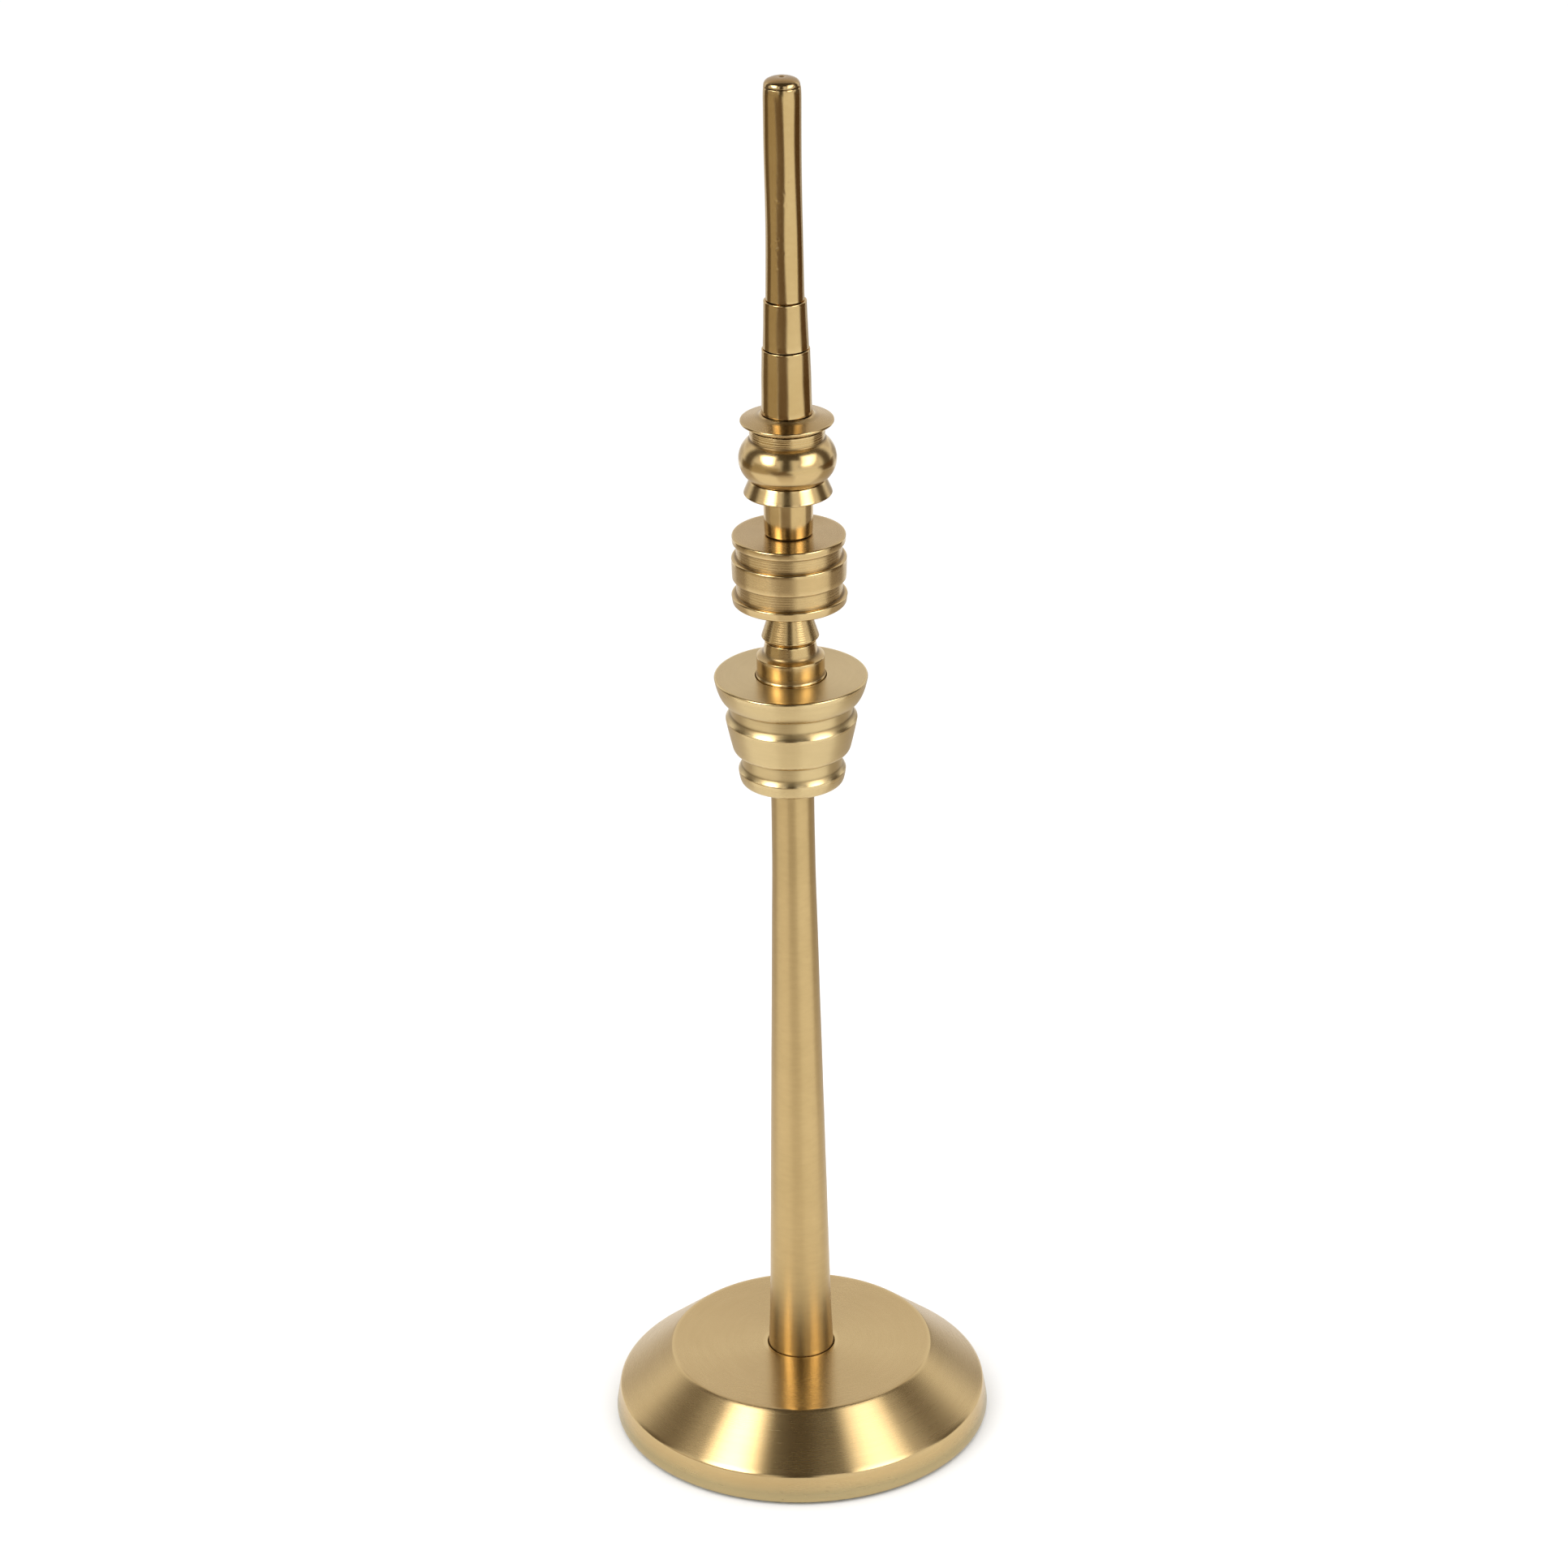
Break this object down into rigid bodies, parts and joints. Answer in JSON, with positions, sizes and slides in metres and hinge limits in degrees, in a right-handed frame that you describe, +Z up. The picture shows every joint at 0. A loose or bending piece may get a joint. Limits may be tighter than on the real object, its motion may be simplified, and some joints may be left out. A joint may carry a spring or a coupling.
{
  "type": "altar candlestick",
  "caption": "Tall turned brass altar candlestick: weighted dish base, tapered stem, stacked knops and a stepped closed spire drawn together on one tie rod.",
  "frame": {"origin": "on the axis, at the underside of the felt pad, where the candlestick stands", "axes": "+Z up along the axis of the stem and the tie rod; X and Y level, the body being round"},
  "size_m": [0.165, 0.165, 0.609],
  "materials": {
    "satin_brass": "satin, circumferentially brushed",
    "polished_brass": "polished",
    "cast_iron": "as cast",
    "zinc_steel": "zinc plated",
    "baize_felt": "wool felt"
  },
  "bodies": {
    "root": {"felt_pad": "baize_felt", "base_casting": "satin_brass", "ballast_disc": "cast_iron", "base_washer": "zinc_steel", "spring_washer": "zinc_steel", "base_nut": "zinc_steel", "tie_rod": "zinc_steel", "lower_stem": "satin_brass", "three_tier_knop": "satin_brass", "neck_ring": "polished_brass", "neck_cone": "polished_brass", "grooved_drum": "satin_brass", "spacer_tube": "polished_brass", "bell_foot": "polished_brass", "bulb_knop": "polished_brass", "drip_flange": "satin_brass", "lower_sleeve": "polished_brass", "middle_sleeve": "polished_brass", "upper_spire": "polished_brass", "threaded_core": "satin_brass", "tip_cap": "polished_brass"}
  },
  "joints": []
}
